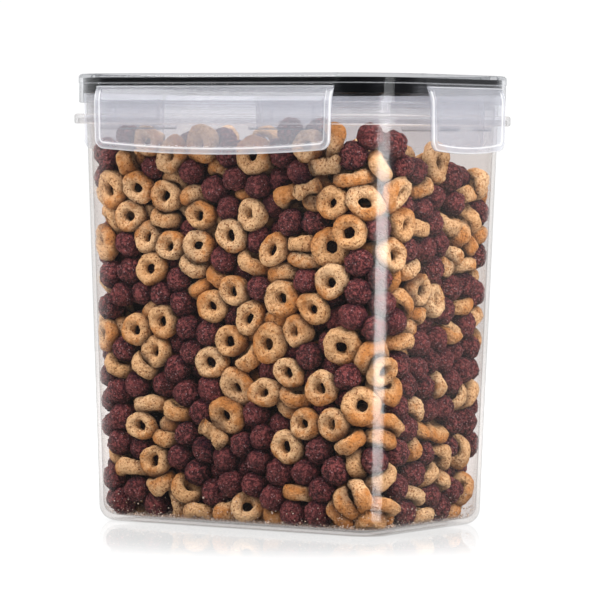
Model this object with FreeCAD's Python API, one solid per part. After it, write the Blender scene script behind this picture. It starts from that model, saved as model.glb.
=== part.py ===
import FreeCAD, Part
import math
import os

# Food canister: a drafted clear tub, a lid with a gasket, and four flaps that lock under a flange.
# Millimetres, +Z up, origin at the centre of the base. The long sides face -Y (front) and +Y.
# Every horizontal outline is a rounded rectangle about the same four corner centres, so a ring is
# given by its section alone: distance out from the corner centre, and height.

# Plan of the tub
CORNER_X = 55.0                 # corner centres, half the spacing along X
CORNER_Y = 30.2                 # and along Y
BASE_RADIUS = 16.5              # outer corner radius at the base
DRAFT = 0.038                   # the walls lean out by this much per millimetre of height

# Heights
OVERALL_HEIGHT = 186.0
RIM_TOP = 177.7
FLANGE_TOP = 169.4
FLANGE_BOTTOM = 165.4
GASKET_BOTTOM = 178.0
SKIRT_BOTTOM = 174.1
PLUG_BOTTOM = 172.0
PANEL_TOP = 183.0

# Tub wall, floor and flange
WALL = 1.6
FLOOR_TOP = 2.4
BASE_RECESS = 0.8               # raised middle of the underside
RING_WIDTH = 14.0               # stand ring, in from the outline of the base
RING_SLOPE = 1.6                # run of the step from the ring up to the recess
BASE_FILLET = 6.5
INNER_FILLET = 5.0
FLANGE_REACH = 5.2              # flange edge beyond the neck
FLANGE_PLATE = 1.6
FLANGE_LIP = 1.5

# Lid
LID_PLATE = 1.6
SKIRT_REACH = 3.2               # skirt's outer face beyond the neck
SKIRT_WALL = 1.5
CROWN_STEP = 0.3                # the lid's upper band stands this much proud of the skirt
CROWN_BOTTOM = 182.3
PLUG_GAP = 0.4                  # plug wall to the tub's inner wall
PLUG_WALL = 1.4
GASKET_GAP = 0.05

# Hinges and flaps
LEDGE_REACH = 4.6               # hinge ledge beyond the neck
LEDGE_BOTTOM = 180.9
LEDGE_ROOT = 1.4                # the ledge starts this far inside the skirt's outer face
HINGE_REACH = 5.2               # hinge axis beyond the neck
HINGE_HEIGHT = 181.4
HINGE_BEAD = 0.45               # radius of the round strand the flap turns on
HINGE_PLAY = 0.10               # strand to the flap's top edge
HINGE_NECK = 0.4
FLAP_TOP_HALF = 0.32            # half width of the flap's top edge, under the strand
FLAP_RIDGE = (0.85, 180.7)      # near the hinge: reach beyond the axis and height of a ridge,
FLAP_GROOVE = (0.75, 180.1)     # the groove under it
FLAP_SHOULDER = (1.15, 179.4)   # and the shoulder where the face starts
FLAP_BACK = (-0.3, 180.2)       # and of the inner corner
FLAP_INNER = 6.2                # flap's inner face beyond the neck
FLAP_WALL = 1.5
FLAP_BEND = 176.0               # height of the bend in the flap's face
FLAP_INNER_DROP = 0.9           # the bend behind it is this much lower
FLAP_BEND_RADII = (12.0, 10.0)  # of the face's bend, and of the one behind it
FLAP_TRIM = 5.0                 # the flap is drawn this much too long, then cut to its outline
FLAP_BEAD = 0.5                 # raised border on the flap's face
FLAP_BORDER = 2.4               # width of that border
FLAP_TAPER = 0.8                # each side leans in by this much from hinge to bottom
FLAP_CORNER = 4.5
FLAP_END_HEIGHT = 155.4         # bottom edge at the flap's ends
OUTLINE_DEPTH = 20.0            # deep enough to cut a flap's whole thickness
LONG_FLAP = {"half": 57.6, "bow": 2.4, "hook": (17.5, 46.0), "rib": 48.5}
SHORT_FLAP = {"half": 29.0, "bow": 1.6, "hook": (5.0, 20.5), "rib": 23.0}
HOOK_GAP = 0.3                  # hook to flange edge
HOOK_TOP = 165.1
HOOK_BOTTOM = 163.1
RIB_WIDTH = 1.0
RIB_DEPTH = 0.5
RIB_BOTTOM = 166.2
RIB_TOP = 173.0

ORIGIN = FreeCAD.Vector(0, 0, 0)
UP = FreeCAD.Vector(0, 0, 1)
NECK = BASE_RADIUS + DRAFT * (FLANGE_TOP + FLANGE_BOTTOM) / 2


def rounded_face(corners):
    """A face in the XZ plane. Each corner is (x, z) or (x, z, radius)."""
    points = [FreeCAD.Vector(corner[0], 0, corner[1]) for corner in corners]
    radii = [corner[2] if len(corner) > 2 else 0.0 for corner in corners]
    ends = []
    for i, point in enumerate(points):
        back = points[i - 1] - point
        ahead = points[(i + 1) % len(points)] - point
        back.normalize()
        ahead.normalize()
        if radii[i] == 0.0:
            ends.append((point, None, point))
            continue
        half = back.getAngle(ahead) / 2
        reach = radii[i] / math.tan(half)
        bisector = back + ahead
        bisector.normalize()
        depth = radii[i] / math.sin(half) - radii[i]
        ends.append((point + back * reach, point + bisector * depth, point + ahead * reach))
    edges = []
    for i, (start, middle, finish) in enumerate(ends):
        if middle is not None:
            edges.append(Part.Arc(start, middle, finish).toShape())
        following = ends[(i + 1) % len(ends)][0]
        if (following - finish).Length > 1e-6:
            edges.append(Part.LineSegment(finish, following).toShape())
    return Part.Face(Part.Wire(edges))


def fuse(solids):
    """One solid from overlapping or touching solids."""
    return solids[0].multiFuse(solids[1:]).removeSplitter()


def carry_round(section):
    """Carry a section, drawn outward from a corner centre, once round the rounded rectangle."""
    pieces = []
    for turn, reach, run in sides():
        straight = section.copy()
        straight.translate(FreeCAD.Vector(reach, -run, 0))
        corner_centre = FreeCAD.Vector(reach, run, 0)
        bend = section.copy()
        bend.translate(corner_centre)
        for piece in (
            straight.extrude(FreeCAD.Vector(0, 2 * run, 0)),
            bend.revolve(corner_centre, UP, 90),
        ):
            piece.rotate(ORIGIN, UP, turn)
            pieces.append(piece)
    return pieces


def sides():
    """Turn about Z, distance to the corner centres and half the straight run, of each side."""
    return (
        (0, CORNER_X, CORNER_Y),
        (90, CORNER_Y, CORNER_X),
        (180, CORNER_X, CORNER_Y),
        (270, CORNER_Y, CORNER_X),
    )


def middle_slab(bottom, top):
    """The part of a floor or panel that lies between the corner centres."""
    slab = Part.makeBox(2 * CORNER_X, 2 * CORNER_Y, top - bottom)
    slab.translate(FreeCAD.Vector(-CORNER_X, -CORNER_Y, bottom))
    return slab


def outer(height):
    """Outer corner radius of the tub at a height."""
    return BASE_RADIUS + DRAFT * height


def inner(height):
    """Inner corner radius of the tub at a height."""
    return outer(height) - WALL


def make_canister():
    """Tub with a rounded base, a stand ring, a locking flange and a rounded rim."""
    ring_inside = outer(0) - RING_WIDTH
    edge = NECK + FLANGE_REACH
    section = rounded_face([
        (0.0, BASE_RECESS),
        (ring_inside, BASE_RECESS, 1.5),
        (ring_inside + RING_SLOPE, 0.0, 1.0),
        (outer(0), 0.0, BASE_FILLET),
        (outer(FLANGE_TOP - FLANGE_PLATE), FLANGE_TOP - FLANGE_PLATE, 0.6),
        (edge - FLANGE_LIP, FLANGE_TOP - FLANGE_PLATE, 0.5),
        (edge - FLANGE_LIP, FLANGE_BOTTOM, 0.4),
        (edge, FLANGE_BOTTOM, 0.7),
        (edge, FLANGE_TOP, 0.9),
        (outer(FLANGE_TOP), FLANGE_TOP, 0.5),
        (outer(RIM_TOP), RIM_TOP, 0.7),
        (inner(RIM_TOP), RIM_TOP, 0.7),
        (inner(FLOOR_TOP), FLOOR_TOP, INNER_FILLET),
        (0.0, FLOOR_TOP),
    ])
    return fuse(carry_round(section) + [middle_slab(BASE_RECESS, FLOOR_TOP)])


def make_lid():
    """Channel rim with a skirt outside and a plug wall inside, a sunk panel and four ledges."""
    skirt = NECK + SKIRT_REACH
    plug = NECK - WALL - PLUG_GAP
    roof = OVERALL_HEIGHT - LID_PLATE
    section = rounded_face([
        (skirt - SKIRT_WALL, SKIRT_BOTTOM, 0.5),
        (skirt, SKIRT_BOTTOM, 0.5),
        (skirt, CROWN_BOTTOM, 0.15),
        (skirt + CROWN_STEP, CROWN_BOTTOM, 0.14),
        (skirt + CROWN_STEP, OVERALL_HEIGHT, 1.5),
        (plug - PLUG_WALL, OVERALL_HEIGHT, 1.2),
        (plug - PLUG_WALL, PANEL_TOP, 1.0),
        (0.0, PANEL_TOP),
        (0.0, PANEL_TOP - LID_PLATE),
        (plug - PLUG_WALL, PANEL_TOP - LID_PLATE, 1.0),
        (plug - PLUG_WALL, PLUG_BOTTOM, 0.5),
        (plug, PLUG_BOTTOM, 0.6),
        (plug, roof, 0.3),
        (skirt - SKIRT_WALL, roof, 0.3),
    ])
    pieces = carry_round(section) + [middle_slab(PANEL_TOP - LID_PLATE, PANEL_TOP)]
    for turn, reach, run in sides():
        pieces.append(place(make_ledge(flap_size(turn)), turn, reach))
    return fuse(pieces)


def make_ledge(size):
    """Thicker stretch of the lid's edge that carries one flap. Drawn out from the neck."""
    face = rounded_face([
        (SKIRT_REACH - LEDGE_ROOT, LEDGE_BOTTOM),
        (LEDGE_REACH, LEDGE_BOTTOM, 0.3),
        (LEDGE_REACH, OVERALL_HEIGHT, 1.6),
        (SKIRT_REACH - LEDGE_ROOT, OVERALL_HEIGHT),
    ])
    return along_side(face, -size["half"], size["half"])


def along_side(face, start, finish):
    """A side's section, drawn in the XZ plane, made into a bar from start to finish along Y."""
    bar = face.copy()
    bar.translate(FreeCAD.Vector(0, start, 0))
    return bar.extrude(FreeCAD.Vector(0, finish - start, 0))


def place(piece, turn, reach):
    """Move a piece drawn out from the neck's plane to its side of the canister."""
    moved = piece.copy()
    moved.translate(FreeCAD.Vector(reach + NECK, 0, 0))
    moved.rotate(ORIGIN, UP, turn)
    return moved


def flap_size(turn):
    """The short flaps are on the -X and +X sides."""
    return SHORT_FLAP if turn in (0, 180) else LONG_FLAP


def make_gasket():
    """Silicone ring in the lid's channel, with a groove round its outside and a sealing ridge."""
    roof = OVERALL_HEIGHT - LID_PLATE
    outside = NECK + SKIRT_REACH - SKIRT_WALL - GASKET_GAP
    inside = NECK - WALL - PLUG_GAP + GASKET_GAP
    section = rounded_face([
        (inside, GASKET_BOTTOM, 0.4),
        (outside, GASKET_BOTTOM, 0.4),
        (outside, CROWN_BOTTOM - 0.3, 0.1),
        (outside - 0.35, CROWN_BOTTOM, 0.1),
        (outside, CROWN_BOTTOM + 0.3, 0.1),
        (outside, roof - GASKET_GAP, 0.4),
        (inside, roof - GASKET_GAP, 0.4),
    ])
    return fuse(carry_round(section))


def make_hinge_strand(size):
    """Living hinge: a round strand on the hinge axis with a thin neck to the ledge."""
    axis = FreeCAD.Vector(HINGE_REACH, -size["half"], HINGE_HEIGHT)
    along = FreeCAD.Vector(0, 1, 0)
    strand = Part.makeCylinder(HINGE_BEAD, 2 * size["half"], axis, along)
    neck = Part.makeBox(HINGE_REACH - LEDGE_REACH, 2 * size["half"], HINGE_NECK)
    neck.translate(FreeCAD.Vector(LEDGE_REACH, -size["half"], HINGE_HEIGHT - HINGE_NECK / 2))
    return fuse([strand, neck])


def flap_section(thicker):
    """Section of a flap from under the hinge strand to below its bottom edge."""
    top = HINGE_HEIGHT - HINGE_BEAD - HINGE_PLAY
    face = FLAP_INNER + FLAP_WALL + thicker
    low = FLAP_END_HEIGHT - FLAP_TRIM
    return rounded_face([
        (HINGE_REACH - FLAP_TOP_HALF, top),
        (HINGE_REACH + FLAP_TOP_HALF, top),
        (HINGE_REACH + FLAP_RIDGE[0] + thicker, FLAP_RIDGE[1], 0.3),
        (HINGE_REACH + FLAP_GROOVE[0] + thicker, FLAP_GROOVE[1], 0.25),
        (HINGE_REACH + FLAP_SHOULDER[0] + thicker, FLAP_SHOULDER[1], 0.5),
        (face, FLAP_BEND, FLAP_BEND_RADII[0]),
        (face, low),
        (FLAP_INNER, low),
        (FLAP_INNER, FLAP_BEND - FLAP_INNER_DROP, FLAP_BEND_RADII[1]),
        (HINGE_REACH + FLAP_BACK[0], FLAP_BACK[1], 0.4),
    ])


def flap_outline(size, inset, top):
    """Front view of a flap as a deep block: sides leaning in, rounded corners, bowed bottom."""
    half_top = size["half"] - inset
    half_bottom = half_top - FLAP_TAPER
    ends = FLAP_END_HEIGHT + inset
    low = ends - size["bow"]
    right = FreeCAD.Vector(0, half_bottom, ends)
    left = FreeCAD.Vector(0, -half_bottom, ends)
    top_left = FreeCAD.Vector(0, -half_top, top)
    top_right = FreeCAD.Vector(0, half_top, top)
    edges = [
        Part.Arc(left, FreeCAD.Vector(0, 0, low), right).toShape(),
        Part.LineSegment(right, top_right).toShape(),
        Part.LineSegment(top_right, top_left).toShape(),
        Part.LineSegment(top_left, left).toShape(),
    ]
    block = Part.Face(Part.Wire(edges)).extrude(FreeCAD.Vector(OUTLINE_DEPTH, 0, 0))
    corners = [
        edge for edge in block.Edges
        if len(edge.Vertexes) == 2
        and all(abs(vertex.Point.z - ends) < 1e-6 for vertex in edge.Vertexes)
        and abs(edge.Vertexes[0].Point.x - edge.Vertexes[1].Point.x) > 1.0
    ]
    return block.makeFillet(FLAP_CORNER - inset, corners)


def make_flap(size):
    """Flap with a raised border on its face and snap hooks and ribs behind it."""
    reach = size["half"] + 1.0
    top = HINGE_HEIGHT + 1.0
    plate = along_side(flap_section(0.0), -reach, reach)
    thick = along_side(flap_section(FLAP_BEAD), -reach, reach)
    outline = flap_outline(size, 0.0, top)
    window = flap_outline(size, FLAP_BORDER, top + 1.0)
    flap = plate.common(outline).fuse(thick.common(outline.cut(window)))
    back = FLAP_INNER + 0.2
    tip = FLANGE_REACH + HOOK_GAP
    hook = rounded_face([
        (back, HOOK_BOTTOM),
        (back, HOOK_TOP),
        (tip, HOOK_TOP, 0.2),
        (tip, HOOK_TOP - 0.6, 0.3),
    ])
    rib = rounded_face([
        (back, RIB_BOTTOM),
        (back, RIB_TOP),
        (FLAP_INNER - RIB_DEPTH, RIB_TOP, 0.2),
        (FLAP_INNER - RIB_DEPTH, RIB_BOTTOM, 0.2),
    ])
    pieces = [flap]
    near, far = size["hook"]
    for way in (-1, 1):
        start, finish = sorted((way * near, way * far))
        pieces.append(along_side(hook, start, finish))
        middle = way * size["rib"]
        pieces.append(along_side(rib, middle - RIB_WIDTH / 2, middle + RIB_WIDTH / 2))
    return fuse(pieces)


def export(name, shape):
    """Write one node, after checking that it is one sound solid."""
    assert shape.isValid() and len(shape.Solids) == 1, name
    shape.Solids[0].exportStep("parts/" + name + ".step")
    box = shape.BoundBox
    print(name, round(shape.Volume), [round(v, 2) for v in (box.XLength, box.YLength, box.ZLength)])


os.makedirs("parts", exist_ok=True)
export("canister_body", make_canister())
export("lid", make_lid())
export("gasket", make_gasket())
for name, (turn, reach, run) in zip(("right", "back", "left", "front"), sides()):
    export(name + "_hinge", place(make_hinge_strand(flap_size(turn)), turn, reach))
    export(name + "_flap", place(make_flap(flap_size(turn)), turn, reach))
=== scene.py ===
import math

import bmesh
import bpy
import numpy as np
from mathutils import Matrix, Vector


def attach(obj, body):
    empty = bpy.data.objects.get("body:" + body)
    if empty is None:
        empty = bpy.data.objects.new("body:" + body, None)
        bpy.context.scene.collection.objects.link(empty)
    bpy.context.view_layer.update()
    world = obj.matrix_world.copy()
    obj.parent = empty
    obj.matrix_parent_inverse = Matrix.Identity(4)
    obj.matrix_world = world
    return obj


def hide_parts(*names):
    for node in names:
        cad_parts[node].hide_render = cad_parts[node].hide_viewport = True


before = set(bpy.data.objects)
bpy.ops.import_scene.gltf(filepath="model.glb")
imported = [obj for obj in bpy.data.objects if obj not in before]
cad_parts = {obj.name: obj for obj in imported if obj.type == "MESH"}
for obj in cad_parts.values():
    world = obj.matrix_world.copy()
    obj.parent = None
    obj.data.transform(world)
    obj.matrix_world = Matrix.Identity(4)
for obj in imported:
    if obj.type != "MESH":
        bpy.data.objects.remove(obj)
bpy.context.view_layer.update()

# -------------------- dimensions
# Lengths are in millimetres, as in the CAD, and MM turns them into metres.
MM = 0.001
TAU = 2 * math.pi
CORNER_X, CORNER_Y = 55.0, 30.2         # centres of the canister's rounded corners
BASE_RADIUS, DRAFT = 16.5, 0.038        # outer corner radius at the base, and its growth per mm
WALL, FLOOR_TOP, FLOOR_FILLET = 1.6, 2.4, 5.0
NECK = 22.8612                          # corner radius of the neck's plane
CAVITY_TOP = 177.7

HINGE_REACH, HINGE_BOTTOM = 5.2, 180.85
FLAP_FACE, FLAP_INNER = 7.7, 6.2
FLAP_LOW, FLAP_TAPER, FLAP_LEAN_TOP = 155.4, 0.8, 182.4
FLAP_CORNER, FLAP_BEAD = 4.5, 0.5       # outline's corner radius, and its rolled border's height
FLAP_EDGE = 0.4                         # radius of the rounding along the panel's edge
FLAP_SPLIT = 178.4                      # the flap's bead is above this height, its panel below
HINGE_LINE = 180.5                      # the bead's edge where a highlight is painted
HOOK = {"tip": 5.5, "bottom": 163.1, "top": 165.1}
RIB = {"width": 1.0, "depth": 0.5, "bottom": 166.2, "top": 173.0}
LONG_FLAP = {"half": 57.6, "bow": 2.4, "hook": (17.5, 46.0), "rib": 48.5, "across": 48}
SHORT_FLAP = {"half": 29.0, "bow": 1.6, "hook": (5.0, 20.5), "rib": 23.0, "across": 26}
FLAPS = {
    "front": (0, LONG_FLAP),
    "right": (90, SHORT_FLAP),
    "back": (180, LONG_FLAP),
    "left": (270, SHORT_FLAP),
}

CAMERA = {
    "azimuth": 32.9, "distance": 1.7173, "height": 0.1579,
    "pitch": -2.18, "yaw": 0.13, "roll": 0.40, "lens": 247.5,
}

FILL_LIMIT = 170.5                      # no piece reaches higher, to stay under the lid's plug
FILL_TILT = 12.0                        # degrees: the fill is higher at the front
FILL_SLOPE = math.tan(math.radians(FILL_TILT))
CEREAL_SEED = 23
CEREAL_COUNT = 1685
CRUMB_COUNT = 3200
RING_SHARE = 0.5                        # share of the pieces that are rings, whole or broken
BROKEN_SHARE = 0.05                     # share of the rings that are broken
RING_KINDS, BROKEN_KINDS, PUFF_KINDS = range(0, 10), range(10, 14), range(14, 22)
RING_REACH, PUFF_REACH = 6.3, 5.5       # how far a piece reaches from its centre, roughly
HIDDEN_IN, HIDDEN_UNDER = 26, 35        # deeper in and lower than this, a piece is drawn coarsely
NEIGHBOUR_REACH = 18                    # between centres, for pieces that darken one another with painted shade
SHADE_GAP = 3.2                         # gap at which a neighbour stops painting shade on a point
PIECES_PER_OBJECT = 150
SETTLE_FRAMES = 70
SETTLE_PULL = 49.0                      # strength of gravity while the pieces settle
PIECE_FRICTION, TUB_FRICTION = 0.45, 0.2
TUB_WIDENS_TO, TUB_TOP = 180.0, 900.0   # the tub that the pieces settle in is carried up straight
CM = 10                                 # millimetres in a centimetre: the settling's own unit

BAR_GLEAM = -0.5                        # the flaps' hooks and ribs scatter less than their faces
MIRROR = 0.02                           # share of light that the plastics mirror face on
CAMERA_WHITE, WORLD_LIGHT = 1.03, 0.65  # strength of the surroundings as seen, and as a light
LIGHT_AIM = 0.15                        # metres: the height that the softboxes face
BACKDROP = 237.0                        # azimuth of the middle of the white backdrop
FLOOR_MIRROR = 0.36                     # share of light that the floor mirrors near the object


# -------------------- mesh tools
def new_mesh_object(name, points, faces):
    """A smooth object from points in millimetres and faces: an array of quads, or tuples."""
    mesh = bpy.data.meshes.new(name)
    points = np.asarray(points) * MM
    if isinstance(faces, np.ndarray):
        mesh.vertices.add(len(points))
        mesh.vertices.foreach_set("co", points.astype(np.float32).ravel())
        mesh.loops.add(faces.size)
        mesh.loops.foreach_set("vertex_index", faces.astype(np.int32).ravel())
        mesh.polygons.add(len(faces))
        mesh.polygons.foreach_set("loop_start", np.arange(0, faces.size, 4, dtype=np.int32))
    else:
        mesh.from_pydata(points.tolist(), [], [tuple(face) for face in faces])
    mesh.update(calc_edges=True)
    mesh.polygons.foreach_set("use_smooth", np.ones(len(mesh.polygons), bool))
    mesh.update()
    obj = bpy.data.objects.new(name, mesh)
    bpy.context.scene.collection.objects.link(obj)
    return obj


def add_point_map(obj, name, values):
    """A value at each of an object's points, which its material reads by name."""
    attribute = obj.data.attributes.new(name, "FLOAT", "POINT")
    attribute.data.foreach_set("value", values.astype(np.float32))


def grid_quads(rows, columns, start=0, closed=False):
    """Quads between neighbouring rows of points, each row holding the same number."""
    quads = []
    for i in range(rows - 1):
        for j in range(columns if closed else columns - 1):
            k = (j + 1) % columns
            a, b = start + i * columns, start + (i + 1) * columns
            quads.append((a + j, a + k, b + k, b + j))
    return quads


def arc(centre, begin, end, radius, steps):
    """Points along the shorter way round a centre, from begin to end."""
    a0 = math.atan2(*(begin - centre)[::-1])
    a1 = math.atan2(*(end - centre)[::-1])
    turn = (a1 - a0 + math.pi) % TAU - math.pi
    angles = [a0 + turn * i / steps for i in range(steps + 1)]
    return [centre + radius * np.array([math.cos(a), math.sin(a)]) for a in angles]


def rounded_line(corners, steps=8):
    """A polyline through (x, z, radius) corners, with an arc at each corner that has a radius."""
    points = [np.array(corners[0][:2], float)]
    for before, here, after in zip(corners, corners[1:], corners[2:]):
        p = np.array(here[:2], float)
        radius = here[2] if len(here) > 2 else 0.0
        if not radius:
            points.append(p)
            continue
        u = np.array(before[:2]) - p
        v = np.array(after[:2]) - p
        u, v = u / np.linalg.norm(u), v / np.linalg.norm(v)
        half = math.acos(max(-1.0, min(1.0, float(u @ v)))) / 2
        bisector = (u + v) / np.linalg.norm(u + v)
        centre = p + bisector * radius / math.sin(half)
        begin = p + u * radius / math.tan(half)
        end = p + v * radius / math.tan(half)
        points += arc(centre, begin, end, radius, steps)
    points.append(np.array(corners[-1][:2], float))
    return np.array(points)


def lumps(points, rng, wavelength, height, waves=12):
    """Smooth random bumps: a sum of plane waves in random directions."""
    ways = rng.normal(size=(waves, 3))
    ways /= np.linalg.norm(ways, axis=1)[:, None]
    lengths = wavelength * rng.uniform(0.7, 1.4, waves)
    phases = rng.uniform(0, TAU, waves)
    swells = np.sin(points @ (ways / lengths[:, None]).T * TAU + phases)
    return height * swells.sum(1) / math.sqrt(waves)


# -------------------- flaps
def flap_section():
    """A flap's section, from the foot of its face up over the hinge bead and down its back."""
    foot = FLAP_LOW - 5
    return rounded_line([
        (FLAP_FACE, foot),
        (FLAP_FACE, 176.0, 12.0),
        (HINGE_REACH + 1.15, 179.4, 0.5),
        (HINGE_REACH + 0.75, 180.1, 0.25),
        (HINGE_REACH + 0.85, 180.7, 0.12),
        (HINGE_REACH + 0.32, HINGE_BOTTOM, 0.1),
        (HINGE_REACH - 0.32, HINGE_BOTTOM, 0.1),
        (HINGE_REACH - 0.3, 180.2, 0.12),
        (FLAP_INNER, 175.1, 10.0),
        (FLAP_INNER, foot),
    ])


def flap_outline(size, inset, side, corner, across):
    """Left side, bottom and right side of a flap's front view, as (along, height) points."""
    half_top = size["half"] - inset
    half = half_top - FLAP_TAPER
    low = FLAP_LOW + inset
    radius = FLAP_CORNER - inset
    slope = 2 * size["bow"] / half
    lean = FLAP_TAPER / (FLAP_LEAN_TOP - FLAP_LOW)
    up = np.array([-lean, 1.0]) / math.hypot(lean, 1.0)
    down = np.array([1.0, -slope]) / math.hypot(1.0, slope)
    point = np.array([-half, low])
    bend = math.acos(float(up @ down))
    setback = radius / math.tan(bend / 2)
    begin, end = point + up * setback, point + down * setback
    centre = point + (up + down) / np.linalg.norm(up + down) * radius / math.sin(bend / 2)
    left = []
    for i in range(side):
        share = i / side
        height = FLAP_SPLIT + (begin[1] - FLAP_SPLIT) * (0.45 * share + 0.55 * share ** 2)
        left.append((-half_top + lean * (FLAP_LEAN_TOP - height), height))
    left += [tuple(place) for place in arc(centre, begin, end, radius, corner)]
    bottom = []
    for i in range(1, across):
        u = end[0] + (-2 * end[0]) * i / across
        bottom.append((u, low - size["bow"] * (1 - (u / half) ** 2)))
    right = [(-u, z) for u, z in reversed(left)]
    return np.array(left + bottom + right)


def flap_face(size, side, corner, insets, height_at, lift, gleam):
    """One face of a flap's panel: loops along its outline, then a grid that fills the inside.

    lift and gleam hold a value for each loop: how far it stands out, and how much highlight is
    painted on it. With the points and quads come the top row's points, a loop's number of points,
    and the painted highlight.
    """
    across = size["across"]
    rows = side + corner + 1
    loops = [flap_outline(size, inset, side, corner, across) for inset in insets]
    points = [
        np.column_stack([loop[:, 0], height_at(loop[:, 1]) + lift[k], loop[:, 1]])
        for k, loop in enumerate(loops)
    ]
    total = len(loops[0])
    quads = grid_quads(len(loops), total)
    inner = loops[-1]
    left, right = inner[:rows], inner[::-1][:rows]
    bottom = inner[rows - 1:rows + across]
    fill = []
    shares = (bottom[:, 0] - bottom[0, 0]) / (bottom[-1, 0] - bottom[0, 0])
    for i in range(rows - 1):
        u = left[i, 0] + (right[i, 0] - left[i, 0]) * shares
        droop = (bottom[:, 1] - bottom[0, 1]) * (i / (rows - 1)) ** 3
        fill.append(np.column_stack([u, left[i, 1] + droop]))
    base = (len(loops) - 1) * total
    index = np.zeros((rows, across + 1), int)
    extra = []
    count = len(loops) * total
    for i in range(rows):
        for j in range(across + 1):
            if j == 0:
                index[i, j] = base + i
            elif j == across:
                index[i, j] = base + total - 1 - i
            elif i == rows - 1:
                index[i, j] = base + rows - 1 + j
            else:
                index[i, j] = count + len(extra)
                u, z = fill[i][j]
                extra.append((u, z))
    extra = np.array(extra)
    points.append(np.column_stack([extra[:, 0], height_at(extra[:, 1]) + lift[-1], extra[:, 1]]))
    for i in range(rows - 1):
        for j in range(across):
            quads.append((index[i, j], index[i, j + 1], index[i + 1, j + 1], index[i + 1, j]))
    top = [k * total for k in range(len(loops))]
    top += [index[0, j] for j in range(1, across)]
    top += [k * total + total - 1 for k in reversed(range(len(loops)))]
    light = np.concatenate([np.repeat(gleam, total), np.zeros(len(extra))])
    return np.vstack(points), quads, top, total, light


def flap_bar(section, start, finish):
    """A small bar on a flap's back, with its ends rounded off."""
    middle = section.mean(0)
    round_off = 0.3
    points = []
    spans = [(start, 0.86), (start + round_off / 2, 0.96), (start + round_off, 1.0),
             (finish - round_off, 1.0), (finish - round_off / 2, 0.96), (finish, 0.86)]
    for along, scale in spans:
        ring = middle + (section - middle) * scale
        points += [(along, w, z) for w, z in ring]
    count = len(section)
    quads = grid_quads(len(spans), count, closed=True)
    caps = [tuple(range(count)), tuple(reversed(range(len(points) - count, len(points))))]
    return np.array(points), quads + caps


def flap_bars(size):
    """A hook and an upright rib on each half of a flap's back."""
    hook = rounded_line([
        (FLAP_INNER, HOOK["bottom"]), (FLAP_INNER, HOOK["top"]), (HOOK["tip"], HOOK["top"], 0.2),
        (HOOK["tip"], HOOK["top"] - 0.6, 0.25), (FLAP_INNER, HOOK["bottom"]),
    ], 3)[:-1]
    depth = FLAP_INNER - RIB["depth"]
    rib = rounded_line([
        (FLAP_INNER, RIB["bottom"]), (FLAP_INNER, RIB["top"]), (depth, RIB["top"], 0.2),
        (depth, RIB["bottom"], 0.2), (FLAP_INNER, RIB["bottom"]),
    ], 3)[:-1]
    near, far = size["hook"]
    bars = []
    for way in (-1, 1):
        place = way * size["rib"]
        bars.append(flap_bar(hook, *sorted((way * near, way * far))))
        bars.append(flap_bar(rib, place - RIB["width"] / 2, place + RIB["width"] / 2))
    return bars


def edge_fall(inset):
    """How far the rounding along a flap's edge falls back, this far in from its outline."""
    short = max(0.0, 1 - inset / FLAP_EDGE)
    return FLAP_EDGE * (1 - math.sqrt(max(0.0, 1 - short * short)))


def border_rise(inset):
    """How far a flap's rolled border stands out: fully at its outline, fading to none inside."""
    fade_from, fade_over = 2.1, 0.85
    share = min(1.0, max(0.0, (inset - fade_from) / fade_over))
    return FLAP_BEAD * (1 - share * share * (3 - 2 * share))


def flap_points(size):
    """The whole flap, drawn as (along, reach, height), its faces, and the highlight painted
    along its edges.
    """
    side, corner = 20, 8
    section = flap_section()
    crest = int(np.argmax(section[:, 1]))
    face, back = section[:crest + 1], section[crest:][::-1]
    # The loops' distances in from the outline, and how much highlight is painted on the face at each.
    insets = [0.0, 0.12, FLAP_EDGE, 0.7, 1.0, 1.8, 2.15, 2.4, 2.65, 2.95, 3.5]
    gleam = [0.8, 1.0, 0.6, 0.25, 0.2, 0.2, 0.3, 1.0, 0.35, 0.0, 0.0]

    def face_at(height):
        """How far out the front of the section is."""
        return np.interp(height, face[:, 1], face[:, 0])

    def back_at(height):
        """How far out the back of the section is."""
        return np.interp(height, back[:, 1], back[:, 0])

    trim = [edge_fall(inset) for inset in insets]
    lift = [border_rise(inset) - fall for inset, fall in zip(insets, trim)]
    dull = [0.0] * len(insets)
    front, quads, top, around, light = flap_face(size, side, corner, insets, face_at, lift, gleam)
    rear, rear_quads, rear_top, around, rear_light = flap_face(
        size, side, corner, insets, back_at, trim, dull)
    light = [light, rear_light]
    shift = len(front)
    points = [front, rear]
    quads = [tuple(q) for q in quads]
    quads += [tuple(shift + i for i in reversed(q)) for q in rear_quads]
    quads += [(i + 1, i, shift + i, shift + i + 1) for i in range(around - 1)]

    # The bead: the section's points above the split, swept along the same columns.
    above = [p for p in section if p[1] > FLAP_SPLIT + 0.05]
    columns = front[top, 0]
    lifts = np.array(lift + [0.0] * (size["across"] - 1) + lift[::-1])
    start = shift + len(rear)
    rows = [list(top)]
    for n, (w, z) in enumerate(above):
        outward = 1.0 if w > HINGE_REACH + 0.3 and z < HINGE_BOTTOM - 0.05 else 0.0
        points.append(np.column_stack([columns, w + outward * lifts, np.full(len(columns), z)]))
        # A highlight painted along the bead's edge at HINGE_LINE.
        light.append(np.full(len(columns), outward * math.exp(-((z - HINGE_LINE) / 0.2) ** 2)))
        rows.append([start + n * len(columns) + i for i in range(len(columns))])
    rows.append([shift + i for i in rear_top])
    for low, high in zip(rows, rows[1:]):
        for j in range(len(columns) - 1):
            quads.append((high[j], high[j + 1], low[j + 1], low[j]))
    quads.append(tuple(row[0] for row in rows))
    quads.append(tuple(row[-1] for row in reversed(rows)))

    points = np.vstack(points)
    for bar, bar_quads in flap_bars(size):
        quads += [tuple(len(points) + i for i in q) for q in bar_quads]
        points = np.vstack([points, bar])
        light.append(np.full(len(bar), BAR_GLEAM))
    return points, quads, np.concatenate(light)


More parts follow.
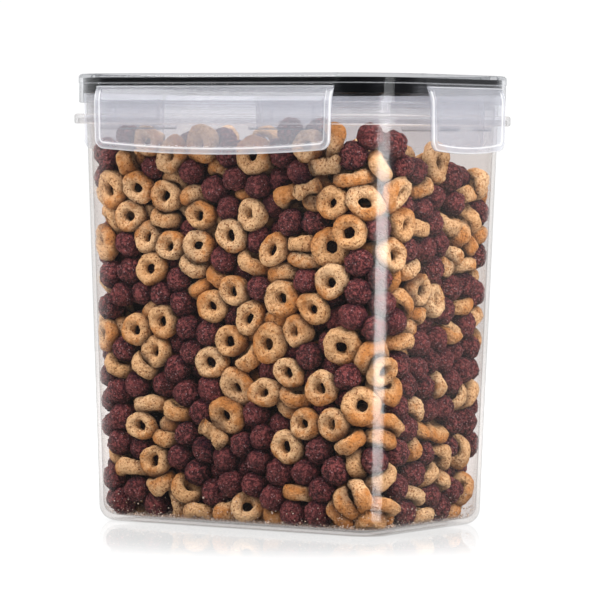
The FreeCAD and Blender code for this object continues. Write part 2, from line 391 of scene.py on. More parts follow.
def make_flap(side, material):
    """A flap's moulding on its side of the lid. It takes the place of the CAD's plainer flap."""
    turn, size = FLAPS[side]
    drawn, quads, light = flap_points(size)
    offset = (CORNER_Y if turn in (0, 180) else CORNER_X) + NECK
    angle = math.radians(turn)
    along = np.array([math.cos(angle), math.sin(angle), 0])
    outward = np.array([math.sin(angle), -math.cos(angle), 0])
    points = drawn[:, :1] * along + (drawn[:, 1:2] + offset) * outward
    points[:, 2] = drawn[:, 2]
    flap = new_mesh_object(f"{side}_flap_moulding", points, quads)
    recalculate_normals(flap)
    # The highlight painted along the flap's edges, which the material reads as gleam.
    add_point_map(flap, "gleam", light)
    flap.data.materials.append(material)
    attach(flap, f"{side}_flap")
    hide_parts(f"{side}_flap")


def recalculate_normals(obj):
    """Turns every face outwards."""
    shape = bmesh.new()
    shape.from_mesh(obj.data)
    bmesh.ops.recalc_face_normals(shape, faces=shape.faces)
    shape.to_mesh(obj.data)
    shape.free()


# -------------------- materials
def tree_of(name):
    """A new material and its empty node tree."""
    material = bpy.data.materials.new(name)
    material.use_nodes = True
    material.node_tree.nodes.clear()
    return material, material.node_tree


def add(tree, kind, inputs=None, **settings):
    """A node with its settings and inputs: an input is a socket to link or a value to set."""
    node = tree.nodes.new(kind)
    for key, value in settings.items():
        setattr(node, key, value)
    for key, value in (inputs or {}).items():
        if isinstance(value, bpy.types.NodeSocket):
            tree.links.new(value, node.inputs[key])
        else:
            node.inputs[key].default_value = value
    return node


def mixed(tree, share, first, second):
    """The first shader, turning to the second as its share goes to 1."""
    inputs = {0: share, 1: first.outputs[0], 2: second.outputs[0]}
    return add(tree, "ShaderNodeMixShader", inputs)


def finish_tree(tree, shader, kind="Material"):
    """Makes a node the surface of its material or world."""
    add(tree, f"ShaderNodeOutput{kind}", {"Surface": shader.outputs[0]})


def object_place(tree):
    """Where a point is on its own object, in metres."""
    return add(tree, "ShaderNodeTexCoord").outputs["Object"]


def point_map(tree, name):
    """The piece's map of this name, or 0 where it has none."""
    return add(tree, "ShaderNodeAttribute", attribute_name=name).outputs["Fac"]


def maths(tree, operation, *values):
    """A sum on sockets and plain values."""
    return add(tree, "ShaderNodeMath", dict(enumerate(values)), operation=operation).outputs[0]


def colour_mix(tree, factor, first, second):
    """The first colour where the factor is 0, turning to the second where it is 1."""
    first, second = ((*c, 1.0) if isinstance(c, tuple) else c for c in (first, second))
    inputs = {0: factor, 6: first, 7: second}
    return add(tree, "ShaderNodeMix", inputs, data_type="RGBA").outputs[2]


def remap(tree, value, low, high, to_low=0.0, to_high=1.0):
    """A smooth step from to_low to to_high as the value goes from low to high."""
    node = add(tree, "ShaderNodeMapRange", {
        "Value": value, "From Min": low, "From Max": high, "To Min": to_low, "To Max": to_high,
    }, interpolation_type="SMOOTHSTEP")
    return node.outputs["Result"]


def noise(tree, where, scale, detail, roughness=0.55):
    """Cloudy noise from 0 to 1, with this many clouds to a metre."""
    node = add(tree, "ShaderNodeTexNoise", {
        "Vector": where, "Scale": scale, "Detail": detail, "Roughness": roughness,
    })
    return node.outputs["Fac"]


def cell_distance(tree, where, scale):
    """How far a point is from the nearest of scattered dots, with this many dots to a metre."""
    return add(tree, "ShaderNodeTexVoronoi", {"Vector": where, "Scale": scale}).outputs["Distance"]


def bump(tree, height, strength, distance):
    """Fine relief from a map of heights."""
    return add(tree, "ShaderNodeBump", {
        "Height": height, "Strength": strength, "Distance": distance,
    }).outputs["Normal"]


def see_through_plastic(name, clear, edge, milk, milk_share, edge_milk, skim, roughness, ripple,
                        gleam=0.0, lines=(), upper=None):
    """Clear or milky moulded plastic that doesn't bend what is behind it.

    clear and edge tint what is seen through it, face on and along the wall. milk is the colour
    of the light that it scatters, and milk_share and edge_milk how much it scatters of it.
    skim tints what it mirrors along the wall. gleam is how much more a moulded edge scatters,
    in near white, where the piece's "gleam" map is 1: a painted highlight. lines are the heights
    of level edges with painted highlights, each with how much more it scatters there. upper is a
    height with the tints seen face on and along the wall above it, where the moulding's thickness
    changes.
    """
    material, tree = tree_of(name)
    where = object_place(tree)
    facing = add(tree, "ShaderNodeLayerWeight", {"Blend": 0.5}).outputs["Facing"]
    mirror = maths(tree, "MULTIPLY_ADD", maths(tree, "POWER", facing, 5.0), 1 - MIRROR, MIRROR)
    rim = maths(tree, "POWER", facing, 3.0)
    tint = colour_mix(tree, rim, clear, edge)
    height = add(tree, "ShaderNodeSeparateXYZ", {"Vector": where}).outputs["Z"]
    if upper:
        level, upper_clear, upper_edge = upper
        above = remap(tree, height, (level - 0.2) * MM, (level + 0.2) * MM)
        tint = colour_mix(tree, above, tint, colour_mix(tree, rim, upper_clear, upper_edge))
    through = add(tree, "ShaderNodeBsdfTransparent", {"Color": tint})
    cloud = noise(tree, where, 60.0, 2.0)
    share = maths(tree, "MULTIPLY", remap(tree, cloud, 0.3, 0.7, 0.9, 1.1), milk_share)
    share = maths(tree, "MULTIPLY_ADD", rim, edge_milk, share)
    # Painted highlight: the gleam map adds scatter, turning near white, along moulded edges.
    highlight_map = point_map(tree, "gleam")
    share = maths(tree, "MULTIPLY_ADD", highlight_map, gleam, share)
    # Painted highlights: thin bands of extra scatter at the heights in lines.
    for level, more in lines:
        off = maths(tree, "ABSOLUTE", maths(tree, "SUBTRACT", height, level * MM))
        share = maths(tree, "MULTIPLY_ADD", remap(tree, off, 0.35 * MM, 0.1 * MM), more, share)
    haze = colour_mix(tree, highlight_map, milk, (0.97, 0.97, 0.98))
    backwards = add(tree, "ShaderNodeBsdfDiffuse", {"Color": haze})
    forwards = add(tree, "ShaderNodeBsdfTranslucent", {"Color": haze})
    scatter = mixed(tree, 0.5, backwards, forwards)
    inside = mixed(tree, share, through, scatter)
    waves = noise(tree, where, ripple[0], 1.0)
    gloss = add(tree, "ShaderNodeBsdfGlossy", {
        "Color": colour_mix(tree, rim, (1.0, 1.0, 1.0), skim), "Roughness": roughness,
        "Normal": bump(tree, waves, 1.0, ripple[1]),
    })
    surface = mixed(tree, mirror, inside, gloss)
    finish_tree(tree, surface)
    return material


def gasket_rubber():
    """Satin black silicone with a trace of dust and moulding marks."""
    material, tree = tree_of("gasket_rubber")
    where = object_place(tree)
    dust = remap(tree, noise(tree, where, 900.0, 4.0), 0.55, 0.8)
    colour = colour_mix(tree, dust, (0.0015, 0.0015, 0.002), (0.007, 0.007, 0.008))
    rough = remap(tree, noise(tree, where, 220.0, 3.0), 0.3, 0.7, 0.30, 0.45)
    shader = add(tree, "ShaderNodeBsdfPrincipled", {
        "Base Color": colour, "Roughness": rough, "Specular IOR Level": 0.08,
        "Normal": bump(tree, noise(tree, where, 1500.0, 2.0), 0.25, 0.00004),
    })
    finish_tree(tree, shader)
    return material


def shaded(tree, colour):
    """Painted shade: darkens a colour towards dark navy by the piece's map of how closely its
    neighbours close in on it.
    """
    shade = maths(tree, "MULTIPLY", point_map(tree, "shade"), 0.97)
    return colour_mix(tree, shade, colour, (0.008, 0.005, 0.018))


def dulled(tree, level):
    """A piece's shine, which fades with the painted shade where its neighbours close in on it."""
    shade = point_map(tree, "shade")
    return maths(tree, "MULTIPLY", maths(tree, "SUBTRACT", 1.0, shade), level)


def toasted_cereal(name, pale, deep, crust):
    """Baked oat pieces: tan, browner where toasted, with bran specks and a fine porous skin."""
    material, tree = tree_of(name)
    where = object_place(tree)
    tone = point_map(tree, "tone")
    toast = point_map(tree, "toast")
    dough = colour_mix(tree, tone, pale, deep)
    blotch = remap(tree, noise(tree, where, 330.0, 4.0), 0.4, 0.7)
    blotch = maths(tree, "MULTIPLY_ADD", blotch, 0.55, toast)
    baked = colour_mix(tree, remap(tree, blotch, 0.35, 1.3), dough, crust)
    grain = noise(tree, where, 900.0, 5.0, 0.75)
    grained = colour_mix(tree, remap(tree, grain, 0.36, 0.56, 0.75, 0.0), baked, (0.40, 0.18, 0.055))
    cells = cell_distance(tree, where, 880.0)
    ragged = maths(tree, "MULTIPLY_ADD", grain, 0.30, cells)
    picked = remap(tree, noise(tree, where, 420.0, 1.0), 0.43, 0.50)
    speck = maths(tree, "MULTIPLY", remap(tree, ragged, 0.50, 0.38), picked)
    colour = colour_mix(tree, maths(tree, "MULTIPLY", speck, 0.85), grained, (0.29, 0.105, 0.034))
    pores = cell_distance(tree, where, 1000.0)
    relief = maths(tree, "MULTIPLY_ADD", pores, 0.6, grain)
    relief = maths(tree, "MULTIPLY_ADD", speck, -0.5, relief)
    # The colour carries the painted shade between pieces, and the shine fades with it.
    shader = add(tree, "ShaderNodeBsdfPrincipled", {
        "Base Color": shaded(tree, colour), "Roughness": 0.78,
        "Specular IOR Level": dulled(tree, 0.25), "Normal": bump(tree, relief, 1.0, 0.0009),
    })
    finish_tree(tree, shader)
    return material


def cocoa_cereal():
    """Cocoa puffs: dark maroon brown, crumbly, dusted with fine pale grains."""
    material, tree = tree_of("cocoa_cereal")
    where = object_place(tree)
    tone = point_map(tree, "tone")
    dark = colour_mix(tree, tone, (0.036, 0.007, 0.012), (0.090, 0.017, 0.023))
    crumb = noise(tree, where, 720.0, 5.0, 0.8)
    brown = colour_mix(tree, remap(tree, crumb, 0.45, 0.60), dark, (0.36, 0.088, 0.088))
    cells = cell_distance(tree, where, 900.0)
    picked = remap(tree, noise(tree, where, 600.0, 1.0), 0.50, 0.58)
    grain = maths(tree, "MULTIPLY", remap(tree, cells, 0.34, 0.16), picked)
    dusted = colour_mix(tree, maths(tree, "MULTIPLY", grain, 0.75), brown, (0.60, 0.38, 0.40))
    relief = maths(tree, "MULTIPLY_ADD", cells, -0.7, crumb)
    # The colour carries the painted shade between pieces, and the shine fades with it.
    shader = add(tree, "ShaderNodeBsdfPrincipled", {
        "Base Color": shaded(tree, dusted), "Roughness": 0.65,
        "Specular IOR Level": dulled(tree, 0.40), "Normal": bump(tree, relief, 1.0, 0.0022),
    })
    finish_tree(tree, shader)
    return material


def floor_material():
    """A white sweep: softly lit and faintly mirroring near the object, plain white further off."""
    material, tree = tree_of("white_sweep")
    where = object_place(tree)
    away = add(tree, "ShaderNodeVectorMath", {0: where}, operation="LENGTH").outputs["Value"]
    matt = add(tree, "ShaderNodeBsdfDiffuse", {"Color": (0.13, 0.13, 0.13, 1)})
    glow = add(tree, "ShaderNodeEmission", {
        "Color": (1, 1, 1, 1), "Strength": remap(tree, away, 0.12, 0.40, 0.80, 1.0),
    })
    lit = add(tree, "ShaderNodeAddShader", {0: matt.outputs[0], 1: glow.outputs[0]})
    rough = remap(tree, noise(tree, where, 40.0, 2.0), 0.3, 0.7, 0.010, 0.016)
    gloss = add(tree, "ShaderNodeBsdfGlossy", {"Color": (1, 1, 1, 1), "Roughness": rough})
    share = remap(tree, away, 0.09, 0.20, FLOOR_MIRROR, 0.0)
    shader = mixed(tree, share, lit, gloss)
    finish_tree(tree, shader)
    return material


# -------------------- cereal
def ring_shape(rng, around, across, sweep=TAU):
    """A lumpy ring, or part of one with a rough broken end where sweep is less than a turn."""
    size = rng.uniform(0.90, 1.10)
    middle, thick, tall = 4.75 * size, rng.uniform(2.35, 2.75) * size, rng.uniform(2.9, 3.5)
    whole = sweep == TAU
    steps = around if whole else around + 1
    a = np.repeat(sweep * np.arange(steps) / around, across)
    b = np.tile(TAU * np.arange(across) / across, steps)
    swell = 1 + 0.07 * np.sin(a + rng.uniform(0, TAU)) + 0.05 * np.sin(2 * a + rng.uniform(0, TAU))
    out = np.sign(np.cos(b)) * np.abs(np.cos(b)) ** 0.9
    up = np.sign(np.sin(b)) * np.abs(np.sin(b)) ** 0.85
    reach = middle + thick * swell * out
    points = np.column_stack([reach * np.cos(a), reach * np.sin(a), tall * swell * up])
    away = np.column_stack([np.cos(b) * np.cos(a), np.cos(b) * np.sin(a), np.sin(b)])
    bumps = (lumps(points, rng, 6.0, 0.26) + lumps(points, rng, 2.4, 0.15)
             + lumps(points, rng, 1.5, 0.06))
    points += away * bumps[:, None]
    stretch = 1 + rng.normal(0, 0.05)
    points[:, 0] *= stretch
    points[:, 1] /= stretch
    points[:, 2] += rng.normal(0, 0.008) * (points[:, 0] ** 2 - points[:, 1] ** 2)
    quads = grid_quads(steps, across, closed=True)
    if whole:
        last = (steps - 1) * across
        quads += [(last + j, last + (j + 1) % across, (j + 1) % across, j) for j in range(across)]
    else:
        for first, flip in ((0, True), ((steps - 1) * across, False)):
            points[first:first + across] += rng.normal(0, 0.25, (across, 3))
            for k in range(across // 2 - 1):
                cap = (first + k, first + k + 1, first + across - 2 - k, first + across - 1 - k)
                quads.append(cap[::-1] if flip else cap)
    points -= points.mean(0)
    side = rng.normal(size=3)
    side /= np.linalg.norm(side)
    baked = 0.55 * np.linalg.norm(points[:, :2], axis=1) / 7.2 + points @ side / 12
    return points, np.array(quads), np.clip(baked, 0, 1)


def puff_shape(rng, cells, radius, rough=1.0):
    """A crumbly ball: a rounded cube of quads with bumps of three sizes."""
    line = np.tan(np.linspace(-math.pi / 4, math.pi / 4, cells + 1))
    index, points, quads = {}, [], []
    for axis in range(3):
        for end in (-1.0, 1.0):
            grid = []
            for u in line:
                row = []
                for v in line:
                    p = [0.0, 0.0, 0.0]
                    p[axis], p[(axis + 1) % 3], p[(axis + 2) % 3] = end, u, v
                    key = tuple(round(c, 5) for c in p)
                    if key not in index:
                        index[key] = len(points)
                        points.append(p)
                    row.append(index[key])
                grid.append(row)
            for i in range(cells):
                for j in range(cells):
                    quad = (grid[i][j], grid[i + 1][j], grid[i + 1][j + 1], grid[i][j + 1])
                    quads.append(quad if end > 0 else quad[::-1])
    points = np.array(points)
    points /= np.linalg.norm(points, axis=1)[:, None]
    ball = points * radius
    bumps = lumps(ball, rng, 0.9 * radius, 0.045 * radius)
    bumps += (lumps(ball, rng, 0.38 * radius, 0.035 * radius)
              + lumps(ball, rng, 0.24 * radius, 0.028 * radius))
    stretched = ball + points * bumps[:, None] * rough
    stretched *= 1 + rng.normal(0, 0.03, 3)
    return stretched, np.array(quads), np.clip(bumps / (0.1 * radius) + 0.5, 0, 1)


def cavity_distance(points):
    """How far points are outside the canister's cavity, in millimetres, negative inside it."""
    radius = BASE_RADIUS + DRAFT * np.minimum(points[..., 2], CAVITY_TOP) - WALL
    x = np.abs(points[..., 0]) - CORNER_X
    y = np.abs(points[..., 1]) - CORNER_Y
    outside = np.hypot(np.maximum(x, 0), np.maximum(y, 0)) + np.minimum(np.maximum(x, y), 0)
    return outside - radius


def cavity_mesh():
    """The cavity's inside as an open tub for the rigid bodies, in centimetres, carried up high."""
    points = []
    levels = (
        (FLOOR_TOP, 5.0), (FLOOR_TOP + 1.5, 1.6), (FLOOR_TOP + 5, 0.0),
        (TUB_WIDENS_TO, 0.0), (TUB_TOP, 0.0),
    )
    steps = 8
    around = 4 * (steps + 1)
    for height, inset in levels:
        radius = BASE_RADIUS + DRAFT * min(height, TUB_WIDENS_TO) - WALL - inset
        for k, (sx, sy) in enumerate(((1, 1), (-1, 1), (-1, -1), (1, -1))):
            for i in range(steps + 1):
                a = math.radians(90 * k + 90 * i / steps)
                points.append((
                    sx * CORNER_X + radius * math.cos(a),
                    sy * CORNER_Y + radius * math.sin(a),
                    height,
                ))
    quads = [tuple(reversed(q)) for q in grid_quads(len(levels), around, closed=True)]
    quads.append(tuple(range(around)))
    mesh = bpy.data.meshes.new("tub")
    mesh.from_pydata((np.array(points) / CM).tolist(), [], quads)
    return mesh


def starting_places(rng, count):
    """A loose stack of places for the pieces to fall from, in centimetres."""
    step, height, clearance, jitter, places = 1.5, 1.3, 0.85, 0.03, []
    while len(places) < count:
        radius = (BASE_RADIUS + DRAFT * min(height * CM, TUB_WIDENS_TO) - WALL) / CM - clearance
        reach = (CORNER_X / CM + radius, CORNER_Y / CM + radius)
        counts = [int(2 * r / step) + 1 for r in reach]
        for x in np.linspace(-reach[0], reach[0], counts[0]):
            for y in np.linspace(-reach[1], reach[1], counts[1]):
                dx, dy = max(0, abs(x) - CORNER_X / CM), max(0, abs(y) - CORNER_Y / CM)
                if math.hypot(dx, dy) <= radius + 0.05:
                    places.append(np.array([x, y, height]) + rng.uniform(-jitter, jitter, 3))
        height += step
    return places[:count]


def loose_pieces(shapes, kinds):
    """The pieces as objects in their starting places, turned at random, and their meshes."""
    rng = np.random.default_rng(CEREAL_SEED)
    meshes = []
    for points, _, _ in shapes:
        mesh = bpy.data.meshes.new("hull")
        mesh.from_pydata((points / CM).tolist(), [], [])
        meshes.append(mesh)
    movers = []
    for kind, place in zip(kinds, starting_places(rng, len(kinds))):
        mover = bpy.data.objects.new("mover", meshes[kind])
        mover.location = place
        spin = rng.normal(size=4)
        mover.rotation_mode = "QUATERNION"
        mover.rotation_quaternion = spin / np.linalg.norm(spin)
        bpy.context.scene.collection.objects.link(mover)
        movers.append(mover)
    return movers, meshes


def make_rigid(movers, tub):
    """Makes rigid bodies of the pieces and of the tub that they fall into."""
    bpy.ops.object.select_all(action="DESELECT")
    for mover in movers:
        mover.select_set(True)
    bpy.context.view_layer.objects.active = movers[0]
    bpy.ops.rigidbody.objects_add(type="ACTIVE")
    for mover in movers:
        body = mover.rigid_body
        body.collision_shape = "CONVEX_HULL"
        body.friction, body.restitution = PIECE_FRICTION, 0.0
        body.use_margin, body.collision_margin = True, 0.0
        body.linear_damping, body.angular_damping = 0.2, 0.3
        body.use_deactivation = True
        body.deactivate_linear_velocity = 0.3
        body.deactivate_angular_velocity = 0.5
    bpy.ops.object.select_all(action="DESELECT")
    tub.select_set(True)
    bpy.context.view_layer.objects.active = tub
    bpy.ops.rigidbody.object_add(type="PASSIVE")
    tub.rigid_body.collision_shape = "MESH"
    tub.rigid_body.friction = TUB_FRICTION
    tub.rigid_body.use_margin, tub.rigid_body.collision_margin = True, 0.0


def settle(shapes, kinds):
    """Drops the pieces into the cavity as rigid bodies and returns where they come to rest.

    Centimetres stand for metres, so that the solver works at the scale that suits it.
    """
    scene = bpy.context.scene
    movers, meshes = loose_pieces(shapes, kinds)
    tub = bpy.data.objects.new("tub", cavity_mesh())
    scene.collection.objects.link(tub)
    bpy.ops.rigidbody.world_add()
    world = scene.rigidbody_world
    world.substeps_per_frame = 8
    world.solver_iterations = 10
    frames = SETTLE_FRAMES
    world.point_cache.frame_end = frames + 2
    tilt = math.radians(FILL_TILT)
    gravity = tuple(scene.gravity)
    scene.gravity = (0, -SETTLE_PULL * math.sin(tilt), -SETTLE_PULL * math.cos(tilt))
    make_rigid(movers, tub)
    for step in range(1, frames + 1):
        scene.frame_set(step)
    rest = np.array([np.array(mover.matrix_world) for mover in movers])
    bpy.ops.rigidbody.world_remove()
    for mover in movers + [tub]:
        bpy.data.objects.remove(mover)
    for mesh in meshes:
        bpy.data.meshes.remove(mesh)
    scene.frame_set(1)
    scene.gravity = gravity
    rest[:, :3, 3] *= CM
    return rest


def place_piece(points, matrix):
    """Points of one piece where it came to rest, nudged inside the cavity if it touches a wall."""
    moved = points @ matrix[:3, :3].T + matrix[:3, 3]
    tries, room, push, lift = 3, 0.15, 0.16, 0.05
    for _ in range(tries):
        gap = cavity_distance(moved)
        worst = int(np.argmax(gap))
        if gap[worst] <= -room:
            break
        p = moved[worst]
        pull = np.array([
            math.copysign(max(0, abs(p[0]) - CORNER_X), -p[0]),
            math.copysign(max(0, abs(p[1]) - CORNER_Y), -p[1]),
            0,
        ])
        moved = moved + pull / max(1e-6, np.linalg.norm(pull)) * (gap[worst] + push)
    low = moved[:, 2].min()
    if low < FLOOR_TOP + lift:
        moved[:, 2] += FLOOR_TOP + lift - low
    return moved


def painted_shade(points, centres, radii, surface):
    """Painted shade from 0 to 1: how shut in each point is by other pieces and by depth below
    the heap's outside.
    """
    apart = np.linalg.norm(points[:, None] - centres[None], axis=2) - radii
    closeness = np.clip(1 - apart / SHADE_GAP, 0, 1)
    near = closeness.max(1, initial=0)
    also = closeness.sum(1)
    top = surface - points[:, 2] - points[:, 1] * FILL_SLOPE
    depth = np.minimum(-cavity_distance(points), np.maximum(top, 0) + 2)
    # Points deeper below the heap's outside get more painted shade.
    dark_from, dark_over = 6, 12
    deep = np.clip((depth - dark_from) / dark_over, 0, 1)
    return np.clip(0.55 * near ** 1.5 + 0.15 * also + 0.7 * deep, 0, 1)


def join_pieces(name, batch, material):
    """One object from many small pieces, with maps of tone, toasting and painted shade on its
    points.
    """
    starts = np.cumsum([0] + [len(piece["points"]) for piece in batch])
    quads = np.vstack([piece["quads"] + start for piece, start in zip(batch, starts)])
    obj = new_mesh_object(name, np.vstack([piece["points"] for piece in batch]), quads)
    for label in ("tone", "toast", "shade"):
        values = np.concatenate([
            np.broadcast_to(piece[label], len(piece["points"])) for piece in batch
        ])
        add_point_map(obj, label, values)
    obj.data.materials.append(material)
    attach(obj, "canister")


def cereal_shapes(rng):
    """Every kind's shape at three finenesses: to be seen, for hidden pieces, and for settling."""
    fine, coarse, hulls = [], [], []
    # A ring's steps around and across it, and a puff's cells along an edge.
    detail = ((fine, (30, 14), 10), (coarse, (16, 8), 5), (hulls, (12, 6), 3))
    for kind in range(PUFF_KINDS.stop):
        seed = int(rng.integers(1 << 30))
        for group, rings, cells in detail:
            own = np.random.default_rng(seed)
            if kind in RING_KINDS:
                group.append(ring_shape(own, *rings))
            elif kind in BROKEN_KINDS:
                group.append(ring_shape(own, *rings, sweep=own.uniform(2.2, 4.4)))
            else:
                group.append(puff_shape(own, cells, own.uniform(5.2, 5.9)))
    return fine, coarse, hulls


def cereal_kinds(rng):
    """Which shape each piece has."""
    draws = rng.random(CEREAL_COUNT)
    picks = rng.integers(0, 1 << 20, CEREAL_COUNT)
    kinds = []
    for draw, pick in zip(draws, picks):
        if draw < RING_SHARE * BROKEN_SHARE:
            group = BROKEN_KINDS
        elif draw < RING_SHARE:
            group = RING_KINDS
        else:
            group = PUFF_KINDS
        kinds.append(group[pick % len(group)])
    return kinds


def make_cereal(ring_material, puff_material):
    """The settled rings and puffs, joined into objects of one sort each."""
    rng = np.random.default_rng(CEREAL_SEED + 1)
    fine, coarse, hulls = cereal_shapes(rng)
    kinds = cereal_kinds(rng)
    rest = settle(hulls, kinds)
    centres = rest[:, :3, 3]
    # The heap's surface slopes as the fill does, with nearly all the centres under it.
    surface = np.percentile(centres[:, 2] + centres[:, 1] * FILL_SLOPE, 94)
    radii = np.array([PUFF_REACH if kind in PUFF_KINDS else RING_REACH for kind in kinds])
    tones = rng.random(CEREAL_COUNT)
    rings, puffs = [], []
    for n, (kind, matrix) in enumerate(zip(kinds, rest)):
        hidden = cavity_distance(centres[n]) < -HIDDEN_IN and centres[n, 2] < surface - HIDDEN_UNDER
        shape, quads, baked = (coarse if hidden else fine)[kind]
        placed = place_piece(shape, matrix)
        if placed[:, 2].max() > FILL_LIMIT:
            continue
        around = np.linalg.norm(centres - centres[n], axis=1) < NEIGHBOUR_REACH
        around[n] = False
        (puffs if kind in PUFF_KINDS else rings).append({
            "points": placed, "quads": quads, "toast": baked, "tone": tones[n],
            "shade": painted_shade(placed, centres[around], radii[around], surface),
        })
    for label, pieces, material, slot in (
        ("rings", rings, ring_material, "toasted_cereal"),
        ("puffs", puffs, puff_material, "cocoa_cereal"),
    ):
        for n, first in enumerate(range(0, len(pieces), PIECES_PER_OBJECT)):
            batch = pieces[first:first + PIECES_PER_OBJECT]
            join_pieces(f"cereal_{label}_{n + 1}", batch, material)


def make_crumbs(material):
    """Crumbs: most cling to the wall low down, and the rest lie on the floor, near its edge."""
    rng = np.random.default_rng(CEREAL_SEED + 2)
    clinging_share, middle_share, clear_of_floor = 0.75, 0.2, 0.05
    batch = []
    while len(batch) < CRUMB_COUNT:
        clinging = rng.random() < clinging_share
        spot = np.array([rng.uniform(-75, 75), rng.uniform(-50, 50), FLOOR_TOP])
        spot[2] += 0.6 + rng.exponential(3.0) if clinging else 0
        short = max(0.0, FLOOR_FILLET + FLOOR_TOP - spot[2])
        fillet = FLOOR_FILLET - math.sqrt(FLOOR_FILLET ** 2 - short ** 2)
        gap = cavity_distance(spot) + fillet + (0.5 if clinging else 0.9)
        if gap > 0 or (gap < -7 and rng.random() > middle_share) or (clinging and gap < -1):
            continue
        radius = rng.uniform(0.10, 0.34) if clinging else rng.uniform(0.3, 0.8)
        points, quads, baked = puff_shape(rng, 2, radius, rough=2.5)
        points = points * rng.uniform(0.7, 1.3, 3)
        spot[2] += clear_of_floor if clinging else clear_of_floor - points[:, 2].min()
        batch.append({
            "points": points + spot, "quads": quads, "toast": baked, "tone": rng.random(), "shade": 0.0,
        })
    join_pieces("cereal_crumbs", batch, material)


# -------------------- studio
def make_camera():
    """A long lens at table height, a little to the right of the front."""
    azimuth = math.radians(CAMERA["azimuth"])
    distance = CAMERA["distance"]
    place = Vector((distance * math.sin(azimuth), -distance * math.cos(azimuth), CAMERA["height"]))
    heading = azimuth - math.radians(CAMERA["yaw"])
    pitch = math.radians(CAMERA["pitch"])
    level = math.cos(pitch)
    look = Vector((-math.sin(heading) * level, math.cos(heading) * level, math.sin(pitch)))
    data = bpy.data.cameras.new("camera")
    data.lens, data.sensor_width = CAMERA["lens"], 36.0
    data.clip_start, data.clip_end = 0.05, 20.0
    camera = bpy.data.objects.new("camera", data)
    turn = look.to_track_quat("-Z", "Y").to_matrix().to_4x4()
    roll = Matrix.Rotation(math.radians(CAMERA["roll"]), 4, "Z")
    camera.matrix_world = Matrix.Translation(place) @ turn @ roll
    bpy.context.scene.collection.objects.link(camera)
    bpy.context.scene.camera = camera


def make_softbox(name, azimuth, elevation, distance, wide, tall, radiance,
                 lights=True, mirrored=True):
    """A flat panel light that faces the lid, in metres and degrees.

    wide and tall are how wide and tall it looks from the object. A panel that doesn't light the
    object is only mirrored in its plastic, and one that isn't mirrored only lights it.
    """
    a, e = math.radians(azimuth), math.radians(elevation)
    data = bpy.data.lights.new(name, "AREA")
    data.shape = "RECTANGLE"
    data.size = 2 * distance * math.tan(math.radians(wide / 2))
    data.size_y = 2 * distance * math.tan(math.radians(tall / 2))
    data.energy = radiance * math.pi * data.size * data.size_y
    lamp = bpy.data.objects.new(name, data)
    way = Vector((math.sin(a) * math.cos(e), -math.cos(a) * math.cos(e), math.sin(e)))
    turn = (-way).to_track_quat("-Z", "Y").to_matrix().to_4x4()
    lamp.matrix_world = Matrix.Translation(Vector((0, 0, LIGHT_AIM)) + way * distance) @ turn
    lamp.visible_camera = False
    lamp.visible_diffuse = lamp.visible_transmission = lights
    lamp.visible_glossy = mirrored
    bpy.context.scene.collection.objects.link(lamp)


def make_floor():
    """A wide disc just under the object, with finer rings near it."""
    rings, around, drop = (100.0, 200.0, 400.0, 800.0, 1400.0), 96, 0.2
    points = [(0, 0, 0)]
    for radius in rings:
        for i in range(around):
            a = TAU * i / around
            points.append((radius * math.cos(a), radius * math.sin(a), 0))
    faces = [(0, 1 + i, 1 + (i + 1) % around) for i in range(around)]
    faces += [tuple(reversed(q)) for q in grid_quads(len(rings), around, 1, closed=True)]
    floor = new_mesh_object("studio_floor", points, faces)
    floor.location.z = -drop * MM
    floor.data.materials.append(floor_material())
    floor.visible_glossy = False


def make_world():
    """White to the eye, and dimmer as a light.

    What the plastic mirrors is white behind the object, bright above it, and dark at table level
    in front of it.
    """
    world = bpy.data.worlds.new("studio")
    world.use_nodes = True
    tree = world.node_tree
    tree.nodes.clear()
    path = add(tree, "ShaderNodeLightPath")
    way = add(tree, "ShaderNodeTexCoord").outputs["Generated"]
    height = add(tree, "ShaderNodeSeparateXYZ", {"Vector": way}).outputs["Z"]
    turn = math.radians(BACKDROP)
    behind = add(tree, "ShaderNodeVectorMath", {
        0: way, 1: (math.sin(turn), -math.cos(turn), 0),
    }, operation="DOT_PRODUCT").outputs["Value"]
    above = remap(tree, height, 0.09, 0.20, 0.03, 0.7)
    mirrored = maths(tree, "MAXIMUM", above, remap(tree, behind, 0.2, 0.5))
    seen = path.outputs["Is Camera Ray"]
    lit = maths(tree, "MULTIPLY_ADD", seen, CAMERA_WHITE - WORLD_LIGHT, WORLD_LIGHT)
    glossy = path.outputs["Is Glossy Ray"]
    rest = maths(tree, "MULTIPLY", maths(tree, "SUBTRACT", 1.0, glossy), lit)
    strength = maths(tree, "MULTIPLY_ADD", glossy, mirrored, rest)
    back = add(tree, "ShaderNodeBackground", {"Color": (1, 1, 1, 1), "Strength": strength})
    finish_tree(tree, back, "World")
    bpy.context.scene.world = world


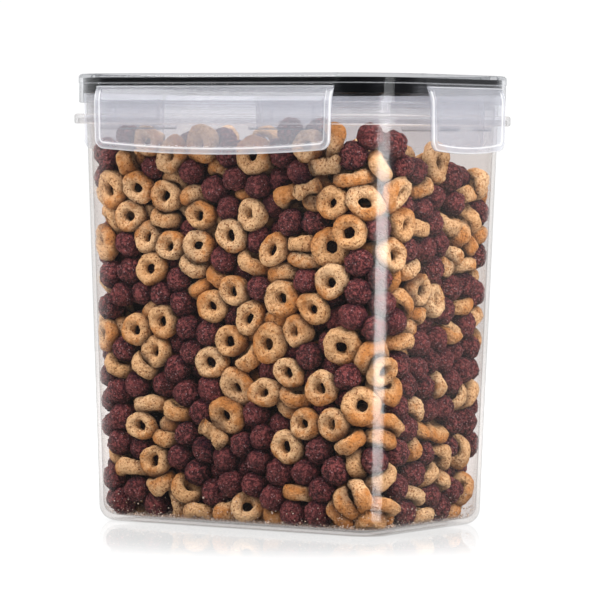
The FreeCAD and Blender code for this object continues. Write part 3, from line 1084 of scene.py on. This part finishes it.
def make_studio():
    """The plain white studio: its surroundings, floor, camera, softboxes and reflecting cards."""
    scene = bpy.context.scene
    scene.view_settings.view_transform = "Standard"
    scene.view_settings.look = "None"
    scene.cycles.transparent_max_bounces = 48
    scene.cycles.max_bounces = 10
    scene.cycles.caustics_reflective = False
    scene.cycles.caustics_refractive = False
    make_world()
    make_floor()
    make_camera()
    make_softbox("key_softbox", azimuth=-33.0, elevation=23.0, distance=0.9,
                 wide=34.0, tall=24.0, radiance=6.8)
    make_softbox("top_softbox", azimuth=-25.0, elevation=52.0, distance=1.0,
                 wide=36.0, tall=28.0, radiance=10.5, mirrored=False)
    make_softbox("fill_softbox", azimuth=75.0, elevation=35.0, distance=1.0,
                 wide=40.0, tall=40.0, radiance=13.5, mirrored=False)
    make_softbox("back_softbox", azimuth=205.0, elevation=25.0, distance=1.0,
                 wide=60.0, tall=30.0, radiance=4.0, mirrored=False)
    make_softbox("corner_card", azimuth=69.0, elevation=-14.0, distance=0.5,
                 wide=23.0, tall=24.0, radiance=15.0, lights=False)
    make_softbox("lid_card", azimuth=72.0, elevation=2.5, distance=0.5,
                 wide=16.0, tall=5.0, radiance=3.0, lights=False)


# -------------------- the object
# The lines are painted highlights along the flange's level edges.
CLEAR = see_through_plastic(
    "clear_plastic", clear=(0.928, 0.908, 0.900), edge=(0.88, 0.865, 0.85), milk=(0.92, 0.86, 0.82),
    milk_share=0.003, edge_milk=0.10, skim=(0.62, 0.62, 0.62), roughness=0.19, ripple=(16.0, 0.0001),
    lines=((165.5, 0.24), (169.3, 0.18)), upper=(165.4, (0.944, 0.938, 0.942), (0.80, 0.80, 0.81)),
)
# The lines are painted highlights along two level edges of the lid.
LID = see_through_plastic(
    "lid_plastic", clear=(0.965, 0.968, 0.976), edge=(0.76, 0.77, 0.79), milk=(0.85, 0.86, 0.89),
    milk_share=0.0, edge_milk=0.14, skim=(0.54, 0.55, 0.57), roughness=0.07, ripple=(20.0, 0.00008),
    lines=((182.1, 0.14), (174.4, 0.10)), upper=(184.3, (0.76, 0.765, 0.775), (0.60, 0.61, 0.63)),
)
# gleam paints a highlight along the flaps' moulded edges.
FLAP = see_through_plastic(
    "flap_plastic", clear=(0.94, 0.943, 0.956), edge=(0.70, 0.715, 0.74), milk=(0.59, 0.60, 0.65),
    milk_share=0.235, edge_milk=0.24, skim=(0.68, 0.69, 0.72), roughness=0.07, ripple=(20.0, 0.00004),
    gleam=0.42,
)
NODE_MATERIALS = {"canister_body": CLEAR, "lid": LID, "gasket": gasket_rubber()}

for node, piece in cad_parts.items():
    if not node.endswith("_flap"):
        piece.data.materials.clear()
        piece.data.materials.append(NODE_MATERIALS.get(node, LID))
for side in FLAPS:
    make_flap(side, FLAP)
TOASTED = toasted_cereal("toasted_cereal", (0.88, 0.61, 0.35), (0.79, 0.48, 0.23), (0.60, 0.25, 0.07))
CRUMBS = toasted_cereal("cereal_crumb", (0.95, 0.90, 0.84), (0.85, 0.72, 0.60), (0.62, 0.42, 0.30))
make_cereal(TOASTED, cocoa_cereal())
make_crumbs(CRUMBS)
make_studio()

bpy.context.view_layer.update()
